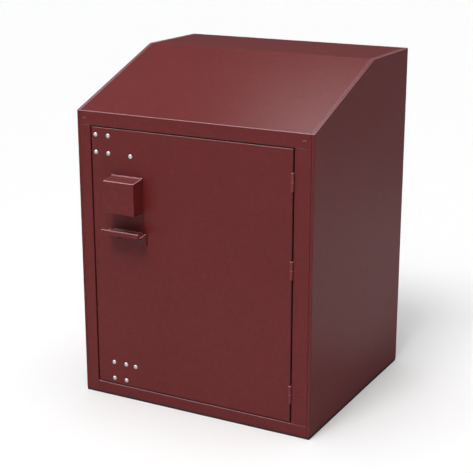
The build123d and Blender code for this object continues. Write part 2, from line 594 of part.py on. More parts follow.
# ---------------------------------------------------------------- hinges
# Lift-off pairs: the frame's knuckle is the lower half, the door's the upper half.
for place, centre in HINGE_CENTRES.items():
    with BuildPart() as frame_leaf:
        with Locations((PIVOT_X, PIVOT_Y, centre - KNUCKLE_GAP / 2)):
            Cylinder(KNUCKLE_RADIUS, HINGE_HALF - KNUCKLE_GAP / 2,
                     align=(Align.CENTER, Align.CENTER, Align.MAX))
        block(FRAME_LEAF_X, (PIVOT_Y, LEAF_Y[1]), (centre - HINGE_HALF, centre - KNUCKLE_GAP / 2))
        block(FRAME_LEAF_X, LEAF_Y, (centre - HINGE_HALF, centre + HINGE_HALF))
        with Locations((PIVOT_X, PIVOT_Y, centre)):
            Cylinder(PIN_RADIUS, HINGE_HEIGHT, mode=Mode.SUBTRACT)
    save(frame_leaf, f"{place}_frame_leaf")

    with BuildPart() as door_leaf:
        with Locations((PIVOT_X, PIVOT_Y, centre + KNUCKLE_GAP / 2)):
            Cylinder(KNUCKLE_RADIUS, HINGE_HALF - KNUCKLE_GAP / 2,
                     align=(Align.CENTER, Align.CENTER, Align.MIN))
        block(DOOR_LEAF_X, (PIVOT_Y, LEAF_Y[1]), (centre + KNUCKLE_GAP / 2, centre + HINGE_HALF))
        block(DOOR_LEAF_X, LEAF_Y, (centre - HINGE_HALF, centre + HINGE_HALF))
        with Locations((PIVOT_X, PIVOT_Y, centre)):
            Cylinder(PIN_RADIUS + PIN_CLEARANCE, HINGE_HEIGHT, mode=Mode.SUBTRACT)
    save(door_leaf, f"{place}_door_leaf")

    with BuildPart() as hinge_pin:
        with Locations((PIVOT_X, PIVOT_Y, centre - HINGE_HALF)):
            Cylinder(PIN_RADIUS, HINGE_HEIGHT - PIN_RADIUS / 2,
                     align=(Align.CENTER, Align.CENTER, Align.MIN))
        chamfer(hinge_pin.edges().sort_by(Axis.Z)[-1], length=PIN_RADIUS / 4)
    save(hinge_pin, f"{place}_hinge_pin")


# ---------------------------------------------------------------- door
def guide_holes(end):
    """Where the four screws of the top or bottom bolt guide stand."""
    return [(GUIDE_X[end] + dx * GUIDE_HOLES_X / 2, BOLT_CENTRES[end] + dz * GUIDE_HOLES_Z / 2)
            for dx in (-1, 1) for dz in (-1, 1)]


with BuildPart() as door_pan:
    block((DOOR_LEFT, DOOR_RIGHT), (FRONT, FRONT + DOOR_DEPTH), (DOOR_BOTTOM, DOOR_TOP))
    fillet(door_pan.faces().sort_by(Axis.Y)[0].edges(), radius=DOOR_RADIUS)
    block((DOOR_LEFT + SHEET, DOOR_RIGHT - SHEET), (SKIN_BACK, FRONT + DOOR_DEPTH - SHEET),
          (DOOR_BOTTOM + SHEET, DOOR_TOP - SHEET), Mode.SUBTRACT)
    rim = SHEET + DOOR_LIP
    block((DOOR_LEFT + rim, DOOR_RIGHT - rim), (FRONT + DOOR_DEPTH - SHEET, FRONT + DOOR_DEPTH),
          (DOOR_BOTTOM + rim, DOOR_TOP - rim), Mode.SUBTRACT)
    for centre in HINGE_CENTRES.values():
        block((DOOR_LEAF_X[0], DOOR_RIGHT), (FRONT, LEAF_Y[0]),
              (centre, centre + HINGE_HALF + KNUCKLE_GAP), Mode.SUBTRACT)
        block((PIVOT_X - KNUCKLE_RADIUS - KNUCKLE_ROOM, DOOR_RIGHT), (FRONT, LEAF_Y[0]),
              (centre - HINGE_HALF - KNUCKLE_ROOM, centre), Mode.SUBTRACT)
    for centre in BOLT_CENTRES.values():
        block((DOOR_LEFT, DOOR_LEFT + SHEET), STRIKE_Y,
              (centre - STRIKE_HALF, centre + STRIKE_HALF), Mode.SUBTRACT)
    for end in BOLT_CENTRES:
        bore(guide_holes(end), FRONT, SKIN_BACK, SCREW_RADIUS + HOLE_CLEARANCE)
    bore(STUDS, FRONT, SKIN_BACK, SCREW_RADIUS + HOLE_CLEARANCE)
    for x, z in HANDLE_SCREWS:
        slot((x, z + TRAVEL / 2), TRAVEL, 90, FRONT, SKIN_BACK, BUSH_RADIUS + RUNNING_GAP)
save(door_pan, "door_pan")

with BuildPart() as door_stiffener:
    low = STIFFENER_X - STIFFENER_WIDTH / 2
    high = STIFFENER_X + STIFFENER_WIDTH / 2
    web = SKIN_BACK + STIFFENER_DEPTH - SHEET
    folded(Plane.XY.offset(DOOR_BOTTOM + STIFFENER_END),
           [(low - STIFFENER_FLANGE, SKIN_BACK), (low, SKIN_BACK), (low, web), (high, web),
            (high, SKIN_BACK), (high + STIFFENER_FLANGE, SKIN_BACK)],
           [DOOR_RADIUS] * 4, DOOR_TOP - DOOR_BOTTOM - 2 * STIFFENER_END)
save(door_stiffener, "door_stiffener")

# ---------------------------------------------------------------- padlock cover
# A box open below, on a flange that stands off the door so that the plate slides under it.
with BuildPart() as lock_cover:
    cover_half = COVER_WIDTH / 2
    space_half = PLATE_WIDTH / 2 + COVER_SIDE_GAP
    flange_half = space_half + COVER_RETURN
    flange_z = (COVER_BOTTOM, COVER_BROW + COVER_RISE + COVER_FLANGE)
    prism([(FRONT - COVER_DEPTH, COVER_BOTTOM), (FRONT - COVER_DEPTH, COVER_BROW),
           (FRONT - COVER_STANDOFF, COVER_BROW + COVER_RISE), (FRONT - COVER_STANDOFF, COVER_BOTTOM)],
          LATCH_X - cover_half, LATCH_X + cover_half)
    front_edges = lock_cover.faces().sort_by(Axis.Y)[0].edges()
    top_edges = lock_cover.faces().sort_by(Axis.Z)[-1].edges().sort_by(Axis.X)
    fillet(front_edges + [top_edges[0], top_edges[-1]], radius=COVER_RADIUS)
    block((LATCH_X - flange_half, LATCH_X + flange_half), (FRONT - COVER_STANDOFF - SHEET, FRONT),
          flange_z)
    prism([(FRONT - COVER_DEPTH + SHEET, COVER_BOTTOM),
           (FRONT - COVER_DEPTH + SHEET, COVER_BROW + COVER_SLOPE * SHEET - COVER_WALL),
           (FRONT, COVER_BROW + COVER_SLOPE * COVER_DEPTH - COVER_WALL), (FRONT, COVER_BOTTOM)],
          LATCH_X - cover_half + SHEET, LATCH_X + cover_half - SHEET, Mode.SUBTRACT)
    block((LATCH_X - space_half, LATCH_X + space_half), (FRONT - COVER_STANDOFF, FRONT),
          (flange_z[0], flange_z[1] - COVER_RETURN), Mode.SUBTRACT)
save(lock_cover, "lock_cover")


def eye(x, y_back, z_low):
    """A padlock eye: a standing plate with a hole across it, rounded at the front."""
    block((x, x + EYE_THICKNESS), (FRONT - EYE_PROJECTION, y_back), (z_low, z_low + EYE_HEIGHT))


with BuildPart() as fixed_eye:
    eye(EYE_X, FRONT, EYE_Z[0])
    fillet(fixed_eye.faces().sort_by(Axis.Y)[0].edges().filter_by(Axis.X), radius=EYE_RADIUS)
    with Locations(Plane(origin=(EYE_X, EYE_HOLE_Y, EYE_CENTRE), z_dir=(-1, 0, 0))):
        Hole(EYE_HOLE_RADIUS, depth=EYE_THICKNESS)
save(fixed_eye, "fixed_eye")

with BuildPart() as moving_eye:
    eye(MOVING_EYE_X, PLATE_FRONT, EYE_Z[0] - TRAVEL)
    fillet(moving_eye.faces().sort_by(Axis.Y)[0].edges().filter_by(Axis.X), radius=EYE_RADIUS)
    with Locations(Plane(origin=(MOVING_EYE_X, EYE_HOLE_Y, EYE_CENTRE - TRAVEL), z_dir=(-1, 0, 0))):
        Hole(EYE_HOLE_RADIUS, depth=EYE_THICKNESS)
save(moving_eye, "moving_eye")

# ---------------------------------------------------------------- slide latch
with BuildPart() as slide_plate:
    block((LATCH_X - PLATE_WIDTH / 2, LATCH_X + PLATE_WIDTH / 2), (PLATE_FRONT, PLATE_FRONT + SHEET),
          (PLATE_BOTTOM, PLATE_TOP))
    block((EYE_X - EYE_GAP, MOVING_EYE_X), (PLATE_FRONT, PLATE_FRONT + SHEET),
          (EYE_Z[0] - TRAVEL - EYE_GAP, PLATE_TOP), Mode.SUBTRACT)
    bore(HANDLE_SCREWS, PLATE_FRONT, PLATE_FRONT + SHEET, SCREW_RADIUS + HOLE_CLEARANCE)
save(slide_plate, "slide_plate")

with BuildPart() as handle_ledge:
    lip_y = FRONT - LEDGE_DEPTH
    lip_z = LEDGE_HEIGHT - LEDGE_DROP
    folded(Plane.YZ.offset(LATCH_X - LEDGE_WIDTH / 2),
           [(lip_y, lip_z + LEDGE_LIP), (lip_y, lip_z),
            (LEDGE_FACE, LEDGE_HEIGHT), (LEDGE_FACE, LEDGE_HEIGHT - LEDGE_FLANGE)],
           [LEDGE_RADIUS, DOOR_RADIUS], LEDGE_WIDTH)
    block((LATCH_X - LEDGE_WIDTH / 2, LATCH_X + LEDGE_WIDTH / 2), (lip_y, lip_y + LEDGE_HEM),
          (lip_z + LEDGE_RADIUS, lip_z + LEDGE_LIP))
    hem_edges = handle_ledge.faces().sort_by(Axis.Z)[-1].edges().filter_by(Axis.X)
    fillet(hem_edges, radius=LEDGE_ROUND)
    bore(HANDLE_SCREWS, LEDGE_FACE, LEDGE_FACE + SHEET, SCREW_RADIUS + HOLE_CLEARANCE)
save(handle_ledge, "handle_ledge")

with BuildPart() as handle_screws:
    grip = CARRIAGE_BACK - LEDGE_FACE
    screws(HANDLE_SCREWS, LEDGE_FACE, grip + NUT_HEIGHT + SCREW_END, SCREW_RADIUS, HEAD_RADIUS,
           HEAD_HEIGHT)
save(handle_screws, "handle_screws")

with BuildPart() as handle_nuts:
    nuts(HANDLE_SCREWS, CARRIAGE_BACK, NUT_HEIGHT, NUT_FLATS, SCREW_RADIUS + THREAD_CLEARANCE)
save(handle_nuts, "handle_nuts")

with BuildPart() as slide_bushes:
    rings(HANDLE_SCREWS, PLATE_FRONT + SHEET, CARRIAGE_FRONT, BUSH_RADIUS,
          SCREW_RADIUS + HOLE_CLEARANCE)
save(slide_bushes, "slide_bushes")

with BuildPart() as carriage_plate:
    block((LATCH_X - CARRIAGE_WIDTH / 2, LATCH_X + CARRIAGE_WIDTH / 2),
          (CARRIAGE_FRONT, CARRIAGE_BACK), (HANDLE_Z - CARRIAGE_HEIGHT / 2,
                                            HANDLE_Z + CARRIAGE_HEIGHT / 2))
    fillet(carriage_plate.edges().filter_by(Axis.Y), radius=BUSH_RADIUS / 2)
    bore(HANDLE_SCREWS, CARRIAGE_FRONT, CARRIAGE_BACK, SCREW_RADIUS + HOLE_CLEARANCE)
    bore(BAR_SCREWS, CARRIAGE_FRONT, CARRIAGE_BACK, REAR_SCREW_RADIUS + THREAD_CLEARANCE)
save(carriage_plate, "carriage_plate")

with BuildPart() as spacer_block:
    block((BAR_X - SPACER_WIDTH / 2, BAR_X + BAR_SCREW_SPACING / 2 + REAR_HEAD_RADIUS),
          (CARRIAGE_BACK, BAR_FRONT),
          (HANDLE_Z - SPACER_HEIGHT / 2, HANDLE_Z + SPACER_HEIGHT / 2))
    bore(BAR_SCREWS, CARRIAGE_BACK, BAR_FRONT, REAR_SCREW_RADIUS + HOLE_CLEARANCE)
save(spacer_block, "spacer_block")

with BuildPart() as draw_bar:
    block((BAR_X - BAR_WIDTH / 2, BAR_X + BAR_WIDTH / 2), (BAR_FRONT, BAR_BACK),
          (BAR_BOTTOM, BAR_TOP))
    fillet(draw_bar.edges().filter_by(Axis.Y), radius=BUSH_RADIUS)
    bore(BAR_SCREWS, BAR_FRONT, BAR_BACK, REAR_SCREW_RADIUS + HOLE_CLEARANCE)
    for x, z in STUDS:
        slot((x, z - TRAVEL / 2), TRAVEL, 90, BAR_FRONT, BAR_BACK, SLEEVE_RADIUS + SLOT_CLEARANCE)
    for end, centre in BOLT_CENTRES.items():
        slot((CAM_PIN_X[end] - TRAVEL / 2, centre - TRAVEL / 2), TRAVEL * math.sqrt(2), 45,
             BAR_FRONT, BAR_BACK, CAM_PIN_RADIUS + SLOT_CLEARANCE)
save(draw_bar, "draw_bar")

with BuildPart() as bar_screws:
    screws(BAR_SCREWS, BAR_BACK, BAR_BACK - CARRIAGE_FRONT, REAR_SCREW_RADIUS, REAR_HEAD_RADIUS,
           REAR_HEAD_HEIGHT, out=1)
save(bar_screws, "bar_screws")

# ---------------------------------------------------------------- bolts and their guides
for end, centre in BOLT_CENTRES.items():
    with BuildPart() as bolt:
        block((BOLT_LEFT, CAM_PIN_X[end] + CAM_PIN_END), (BOLT_FRONT, BOLT_BACK),
              (centre - BOLT_HEIGHT / 2, centre + BOLT_HEIGHT / 2))
        chamfer(bolt.faces().sort_by(Axis.X)[0].edges().filter_by(Axis.Y), length=BOLT_CHAMFER)
    save(bolt, f"{end}_bolt")

    with BuildPart() as cam_pin:
        rings([(CAM_PIN_X[end], centre)], BOLT_BACK, BAR_BACK + CAM_PIN_STAND, CAM_PIN_RADIUS)
    save(cam_pin, f"{end}_cam_pin")

    with BuildPart() as guide:
        inside = BOLT_HEIGHT / 2 + GUIDE_CLEARANCE
        edge = GUIDE_HOLES_Z / 2 + GUIDE_EDGE
        roof = BOLT_BACK + GUIDE_CLEARANCE
        folded(Plane.YZ.offset(GUIDE_X[end] - GUIDE_WIDTH / 2),
               [(SKIN_BACK, centre + edge), (SKIN_BACK, centre + inside), (roof, centre + inside),
                (roof, centre - inside), (SKIN_BACK, centre - inside), (SKIN_BACK, centre - edge)],
               [DOOR_RADIUS, GUIDE_CLEARANCE, GUIDE_CLEARANCE, DOOR_RADIUS], GUIDE_WIDTH)
        bore(guide_holes(end), SKIN_BACK, SKIN_BACK + SHEET, SCREW_RADIUS + HOLE_CLEARANCE)
    save(guide, f"{end}_guide")

    with BuildPart() as guide_screws:
        screws(guide_holes(end), FRONT, 2 * SHEET + NUT_HEIGHT + SCREW_END, SCREW_RADIUS,
               HEAD_RADIUS, HEAD_HEIGHT)
    save(guide_screws, f"{end}_guide_screws")

    with BuildPart() as guide_nuts:
        nuts(guide_holes(end), SKIN_BACK + SHEET, NUT_HEIGHT, NUT_FLATS,
             SCREW_RADIUS + THREAD_CLEARANCE)
    save(guide_nuts, f"{end}_guide_nuts")

with BuildPart() as strike_plates:
    for centre in BOLT_CENTRES.values():
        block((OPEN_LEFT - SHEET - STRIKE_THICKNESS, OPEN_LEFT - SHEET),
              (SKIN_BACK + SEAM_RADIUS, FRONT + REBATE),
              (centre - STRIKE_HEIGHT / 2, centre + STRIKE_HEIGHT / 2))
        block((OPEN_LEFT - SHEET - STRIKE_THICKNESS, OPEN_LEFT - SHEET), STRIKE_Y,
              (centre - STRIKE_HALF, centre + STRIKE_HALF), Mode.SUBTRACT)
save(strike_plates, "strike_plates")

# Shoulder studs that guide the bar: screw, sleeve, washer and nut.
with BuildPart() as guide_studs:
    screws(STUDS, FRONT, SLEEVE_END + WASHER_THICKNESS + NUT_HEIGHT + SCREW_END - FRONT,
           SCREW_RADIUS, HEAD_RADIUS, HEAD_HEIGHT)
save(guide_studs, "guide_studs")

with BuildPart() as stud_sleeves:
    rings(STUDS, SKIN_BACK, SLEEVE_END, SLEEVE_RADIUS, SCREW_RADIUS + THREAD_CLEARANCE)
save(stud_sleeves, "stud_sleeves")

with BuildPart() as stud_washers:
    rings(STUDS, SLEEVE_END, SLEEVE_END + WASHER_THICKNESS, WASHER_RADIUS,
          SCREW_RADIUS + HOLE_CLEARANCE)
save(stud_washers, "stud_washers")

with BuildPart() as stud_nuts:
    nuts(STUDS, SLEEVE_END + WASHER_THICKNESS, NUT_HEIGHT, NUT_FLATS,
         SCREW_RADIUS + THREAD_CLEARANCE)
save(stud_nuts, "stud_nuts")

print("hinge axis", round(PIVOT_X, 2), round(PIVOT_Y, 2), "front", round(FRONT, 2),
      "back", round(BACK, 2), "rod", round(ROD_Y, 2), round(ROD_Z, 2))
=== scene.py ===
# %% [markdown]
# # A steel book drop box
#
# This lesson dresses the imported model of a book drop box: a welded steel cabinet with a slanted
# hood, one big door on the front, a lifting latch with a padlock cover, and a slot for books at
# the back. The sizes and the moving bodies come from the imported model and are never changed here.
# Blender adds what a solid model can't say: powder coat, bright zinc, rubber, soft edges and light.

import json
import math
import random

import bpy
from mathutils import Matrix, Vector


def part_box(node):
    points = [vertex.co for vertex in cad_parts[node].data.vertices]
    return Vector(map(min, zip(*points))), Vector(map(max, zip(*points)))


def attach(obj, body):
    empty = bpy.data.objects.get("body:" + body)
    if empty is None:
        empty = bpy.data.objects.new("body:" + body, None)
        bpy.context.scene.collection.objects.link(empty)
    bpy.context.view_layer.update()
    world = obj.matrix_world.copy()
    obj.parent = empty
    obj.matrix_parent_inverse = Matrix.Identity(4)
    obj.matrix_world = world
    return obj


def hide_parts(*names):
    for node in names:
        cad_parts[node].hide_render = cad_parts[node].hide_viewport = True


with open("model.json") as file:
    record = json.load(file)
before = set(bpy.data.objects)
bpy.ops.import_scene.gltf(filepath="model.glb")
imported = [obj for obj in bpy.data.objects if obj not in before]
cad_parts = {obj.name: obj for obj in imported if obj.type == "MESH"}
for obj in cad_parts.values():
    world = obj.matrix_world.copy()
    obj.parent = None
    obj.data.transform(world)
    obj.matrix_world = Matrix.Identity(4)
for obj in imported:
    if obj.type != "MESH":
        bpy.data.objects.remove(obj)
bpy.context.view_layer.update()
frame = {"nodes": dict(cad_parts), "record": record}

# %% [markdown]
# ## Where the camera stands
#
# The box is seen from the front, a little to the right and from above, through a lens of about
# 90 mm. A long lens keeps the upright edges of tall furniture nearly parallel, which is how
# catalogues show it. Everything else in the scene is placed by the object's own metres.

# %% Camera
CAMERA_PLACE = Vector((1.6718, -3.1590, 1.5237))
CAMERA_AZIMUTH = math.radians(28.21)
CAMERA_DROP = math.radians(16.47)
LENS_MM = 91.77
SENSOR_MM = 36.0
FAR_CLIP = 60.0

bpy.ops.object.select_all(action="DESELECT")
bpy.ops.object.camera_add(location=CAMERA_PLACE)
camera = bpy.context.object
camera.name = "studio_camera"
aim = Vector((-math.sin(CAMERA_AZIMUTH) * math.cos(CAMERA_DROP),
              math.cos(CAMERA_AZIMUTH) * math.cos(CAMERA_DROP),
              -math.sin(CAMERA_DROP)))
camera.rotation_euler = aim.to_track_quat("-Z", "Y").to_euler()
camera.data.lens = LENS_MM
camera.data.sensor_width = SENSOR_MM
camera.data.clip_end = FAR_CLIP
bpy.context.scene.camera = camera
bpy.context.scene.view_settings.view_transform = "Standard"
print("camera looks along", [round(v, 3) for v in aim])

# %% [markdown]
# ## Writing shader sums as sums
#
# A node tree is easier to read when its arithmetic looks like arithmetic. `Wire` holds one output
# socket and turns `+`, `-` and `*` into Math nodes, with a number or another wire on either side.
# Every other node comes from `Wire.node`, which sets the node's settings first and its sockets
# after.

# %% Wire: a socket that understands arithmetic
class Wire:
    """One output socket of a material, with arithmetic on it."""

    def __init__(self, tree, socket):
        self.tree = tree
        self.socket = socket

    @staticmethod
    def node(tree, kind, settings=None, sockets=None):
        """Adds a node: its settings are set first, then the values or links of its sockets."""
        made = tree.nodes.new(kind)
        for name, value in (settings or {}).items():
            setattr(made, name, value)
        for name, value in (sockets or {}).items():
            if isinstance(value, Wire):
                tree.links.new(value.socket, made.inputs[name])
            else:
                made.inputs[name].default_value = value
        return made

    def sum(self, operation, first, second):
        made = Wire.node(self.tree, "ShaderNodeMath", {"operation": operation},
                         {0: first, 1: second})
        return Wire(self.tree, made.outputs[0])

    def __add__(self, other):
        return self.sum("ADD", self, other)

    def __radd__(self, other):
        return self.sum("ADD", other, self)

    def __sub__(self, other):
        return self.sum("SUBTRACT", self, other)

    def __rsub__(self, other):
        return self.sum("SUBTRACT", other, self)

    def __mul__(self, other):
        return self.sum("MULTIPLY", self, other)

    def __rmul__(self, other):
        return self.sum("MULTIPLY", other, self)

    def clamp(self):
        made = Wire.node(self.tree, "ShaderNodeClamp", {}, {"Value": self})
        return Wire(self.tree, made.outputs[0])


print("Wire ready")

# %% [markdown]
# ## The materials' common parts
#
# A few patterns do most of the work. Noise makes a colour that is never quite even and, as bumps,
# a surface that is never quite smooth. A mask marks the edges, and a blend mixes two colours by
# any mask. The edge mask compares a rounded normal with the flat one, so it is bright on edges
# only and needs no extra geometry.

# %% Patterns
BEVEL_SAMPLES = 4
EDGE_CONTRAST = 7.0


def noise(tree, place, scale, detail=3.0, roughness=0.5):
    """Noise from 0 to 1 with a middle near 0.5, and `scale` patches to a metre."""
    made = Wire.node(tree, "ShaderNodeTexNoise", {}, {
        "Vector": place, "Scale": scale, "Detail": detail, "Roughness": roughness})
    return Wire(tree, made.outputs["Fac"])


def tinted(colour, times):
    """A colour made darker or lighter, with its alpha."""
    return [min(1.0, part * times) for part in colour] + [1.0]


def blend_colours(tree, mask, first, second):
    """The first colour where the mask is 0, and the second where it is 1."""
    made = Wire.node(tree, "ShaderNodeMix", {"data_type": "RGBA"},
                     {"Factor": mask, 6: first, 7: second})
    return Wire(tree, made.outputs[2])


def rounded_normal(tree, radius):
    """The normal of the surface if its edges were rounded to `radius` metres."""
    made = Wire.node(tree, "ShaderNodeBevel", {"samples": BEVEL_SAMPLES}, {"Radius": radius})
    return Wire(tree, made.outputs["Normal"])


def edge_mask(tree, wide):
    """Bright within about `wide` metres of an edge."""
    rounded = rounded_normal(tree, wide)
    flat = Wire(tree, Wire.node(tree, "ShaderNodeNewGeometry").outputs["Normal"])
    agreement = Wire.node(tree, "ShaderNodeVectorMath", {"operation": "DOT_PRODUCT"},
                          {0: rounded, 1: flat})
    return ((1.0 - Wire(tree, agreement.outputs["Value"])) * EDGE_CONTRAST).clamp()


def bumps(tree, pattern, strength, depth, over=None):
    """The normal of a surface on which `pattern` stands up to `depth` metres proud."""
    sockets = {"Strength": strength, "Distance": depth, "Height": pattern}
    if over:
        sockets["Normal"] = over
    made = Wire.node(tree, "ShaderNodeBump", {}, sockets)
    return Wire(tree, made.outputs["Normal"])


def start_material(name):
    """A material with an empty tree, and the place of each point on the piece."""
    made = bpy.data.materials.new(name)
    made.use_nodes = True
    tree = made.node_tree
    tree.nodes.clear()
    place = Wire(tree, Wire.node(tree, "ShaderNodeTexCoord").outputs["Object"])
    return made, tree, place


def end_material(tree, sockets):
    shader = Wire.node(tree, "ShaderNodeBsdfPrincipled", {}, sockets)
    Wire.node(tree, "ShaderNodeOutputMaterial", {},
              {"Surface": Wire(tree, shader.outputs["BSDF"])})


print("patterns ready")

# %% [markdown]
# ## Powder coat
#
# Powder is sprayed on dry and baked until it flows. The coat comes out nearly even, with broad
# clouds, a mottle, the grain of the powder and a slight orange peel, and each of these is one
# noise of its own size. Edges that look up get a paler tone, which is a painted highlight for
# the light from above caught on rounded edges, so the edge mask is multiplied by how far the
# surface looks up. One function makes all the coats, and their colours and the strength of their
# painted highlight are all that differ from piece to piece.

# %% Powder coat
CLOUD_SCALE = 3.0
MOTTLE_SCALE = 45.0
GRAIN_SCALE = 170.0
PEEL_SCALE = 330.0
CLOUD_SHARE = 0.30
MOTTLE_SHARE = 0.55
GRAIN_SHARE = 1.9
DARKEST_COAT = 0.80
LIGHTEST_COAT = 1.22
COAT_ROUGHNESS = 0.39
COAT_ROUGHNESS_SPREAD = 0.08
COAT_EDGE_RADIUS = 0.0012
HIGHLIGHT_WIDTH = 0.0032
LEAST_HIGHLIGHT = 0.4
PEEL_STRENGTH = 0.5
PEEL_DEPTH = 0.0005
UP_START = 0.12
UP_GAIN = 2.2


def upward(tree, normal):
    """1 where a surface looks up, 0 where it looks sideways or down."""
    parts = Wire.node(tree, "ShaderNodeSeparateXYZ", {}, {"Vector": normal})
    return ((Wire(tree, parts.outputs["Z"]) - UP_START) * UP_GAIN).clamp()


def powder_coat(name, colour, highlight_colour, highlight_strength=1.0, rim=HIGHLIGHT_WIDTH):
    """A coat of `colour` whose upper edges get a painted highlight of the second colour over `rim`
    metres.
    """
    made, tree, place = start_material(name)
    cloud = noise(tree, place, CLOUD_SCALE, detail=4.0)
    mottle = noise(tree, place, MOTTLE_SCALE)
    grain = noise(tree, place, GRAIN_SCALE, detail=2.0)
    peel = noise(tree, place, PEEL_SCALE, detail=2.0, roughness=0.6)
    rounded = rounded_normal(tree, COAT_EDGE_RADIUS)
    shade = ((cloud - 0.5) * CLOUD_SHARE + (mottle - 0.5) * MOTTLE_SHARE
             + (grain - 0.5) * GRAIN_SHARE + 0.5).clamp()
    paint = blend_colours(tree, shade, tinted(colour, DARKEST_COAT),
                          tinted(colour, LIGHTEST_COAT))
    # Painted highlight: a paler colour on edges that look up, where the lights above catch them.
    painted_highlight = (edge_mask(tree, rim) * upward(tree, rounded)
              * (cloud * (1.0 - LEAST_HIGHLIGHT) + LEAST_HIGHLIGHT) * highlight_strength).clamp()
    end_material(tree, {
        "Base Color": blend_colours(tree, painted_highlight, paint, tinted(highlight_colour, 1.0)),
        "Roughness": (cloud - 0.5) * COAT_ROUGHNESS_SPREAD + COAT_ROUGHNESS,
        "Normal": bumps(tree, peel, PEEL_STRENGTH, PEEL_DEPTH, over=rounded),
    })
    return made


MAROON = (0.152, 0.0135, 0.0150)
# The hinge maroon is lighter than the rest: painted highlight for the light on the hinge knuckles.
HINGE_HIGHLIGHT_MAROON = (0.200, 0.032, 0.036)
# A lighter maroon for the welds: painted highlight for the light caught on the weld bead and
# chevrons.
WELD_HIGHLIGHT_MAROON = (0.260, 0.075, 0.082)
# The colours below are painted highlights, laid on edges that look up.
SOFT_EDGE_HIGHLIGHT = (0.50, 0.27, 0.31)
HOOD_EDGE_HIGHLIGHT = (0.66, 0.38, 0.45)
STRONG_EDGE_HIGHLIGHT = (0.80, 0.47, 0.53)
RIM_EDGE_HIGHLIGHT = (0.88, 0.76, 0.78)

maroon = powder_coat("maroon_powder_coat", MAROON, SOFT_EDGE_HIGHLIGHT)
weld_highlight_maroon = powder_coat("weld_highlight_coat", WELD_HIGHLIGHT_MAROON, SOFT_EDGE_HIGHLIGHT)
unhighlighted_maroon = powder_coat("unhighlighted_maroon_coat", MAROON, SOFT_EDGE_HIGHLIGHT, highlight_strength=0.0)
hood_maroon = powder_coat("hood_maroon_coat", MAROON, HOOD_EDGE_HIGHLIGHT, highlight_strength=1.3)
rim_maroon = powder_coat("side_rim_maroon_coat", MAROON, RIM_EDGE_HIGHLIGHT, highlight_strength=1.3)
strong_highlight_maroon = powder_coat("strong_highlight_maroon_coat", MAROON, STRONG_EDGE_HIGHLIGHT, highlight_strength=1.5, rim=0.004)
hinge_maroon = powder_coat("hinge_maroon_coat", HINGE_HIGHLIGHT_MAROON, STRONG_EDGE_HIGHLIGHT, highlight_strength=1.5)
print("coats", [coat.name for coat in bpy.data.materials if coat.name.endswith("_coat")])

# %% [markdown]
# ## Plated metal and rubber
#
# Screws, nuts and pins are plated, so their metal is cloudy and finely grained. A paler colour on
# their edges is a painted highlight. Bright zinc is a passivated, milky layer, which is why it is
# made only partly metallic. Rubber is rough and nearly black, with a fine pitted skin. All three
# are procedural, because a screw head is too small for a picture texture to be worth its file.

# %% Plated metal
METAL_CLOUD_SCALE = 40.0
METAL_CLOUD_SHARE = 0.8
METAL_GRAIN_SHARE = 0.5
DARKEST_METAL = 0.72
LIGHTEST_METAL = 1.15
METAL_ROUGHNESS_SPREAD = 0.25
METAL_EDGE_RADIUS = 0.0005
METAL_EDGE_WIDTH = 0.0008
PAINTED_EDGE_GLINT = 0.5
EDGE_GLINT_COLOUR = (0.82, 0.81, 0.78)


def plated_metal(name, colour, rough, grain_scale, metallic):
    made, tree, place = start_material(name)
    cloud = noise(tree, place, METAL_CLOUD_SCALE, detail=4.0)
    grain = noise(tree, place, grain_scale)
    rounded = rounded_normal(tree, METAL_EDGE_RADIUS)
    shade = ((cloud - 0.5) * METAL_CLOUD_SHARE + (grain - 0.5) * METAL_GRAIN_SHARE + 0.5).clamp()
    plate = blend_colours(tree, shade, tinted(colour, DARKEST_METAL),
                          tinted(colour, LIGHTEST_METAL))
    end_material(tree, {
        # Painted highlight: the edges are blended towards a pale colour.
        "Base Color": blend_colours(tree, edge_mask(tree, METAL_EDGE_WIDTH) * PAINTED_EDGE_GLINT, plate,
                                    tinted(EDGE_GLINT_COLOUR, 1.0)),
        "Metallic": metallic,
        "Roughness": (cloud - 0.5) * METAL_ROUGHNESS_SPREAD + rough,
        "Normal": bumps(tree, grain, strength=0.3, depth=0.0002, over=rounded),
    })
    return made


bright_zinc = plated_metal("bright_zinc_plate", (0.74, 0.76, 0.77), rough=0.40,
                           grain_scale=700.0, metallic=0.35)
# Black zinc goes on the screws under the ledge; their dark is partly painted shade from the ledge
# above them.
black_zinc = plated_metal("dark_screw_and_shade_plate", (0.055, 0.055, 0.058), rough=0.42,
                          grain_scale=700.0, metallic=0.3)
steel = plated_metal("plated_steel", (0.50, 0.50, 0.49), rough=0.42,
                     grain_scale=500.0, metallic=0.8)
print("plated metals", bright_zinc.name, black_zinc.name, steel.name)


# %% Rubber
RUBBER = (0.022, 0.022, 0.023)
RUBBER_CLOUD_SCALE = 60.0
RUBBER_PIT_SCALE = 900.0
DARKEST_RUBBER = 0.6
LIGHTEST_RUBBER = 1.6
RUBBER_ROUGHNESS = 0.75
RUBBER_ROUGHNESS_SPREAD = 0.2


def rubber(name, colour):
    made, tree, place = start_material(name)
    cloud = noise(tree, place, RUBBER_CLOUD_SCALE)
    pits = noise(tree, place, RUBBER_PIT_SCALE, detail=2.0)
    end_material(tree, {
        "Base Color": blend_colours(tree, cloud, tinted(colour, DARKEST_RUBBER),
                                    tinted(colour, LIGHTEST_RUBBER)),
        "Roughness": (cloud - 0.5) * RUBBER_ROUGHNESS_SPREAD + RUBBER_ROUGHNESS,
        "Normal": bumps(tree, pits, strength=0.4, depth=0.0003),
    })
    return made


# This black also goes on the imported rubber strips round the base; it is partly painted shade, a
# dark band where the gap under the box lies in shadow.
black_rubber = rubber("black_rubber_pad", RUBBER)
print("rubber", black_rubber.name)

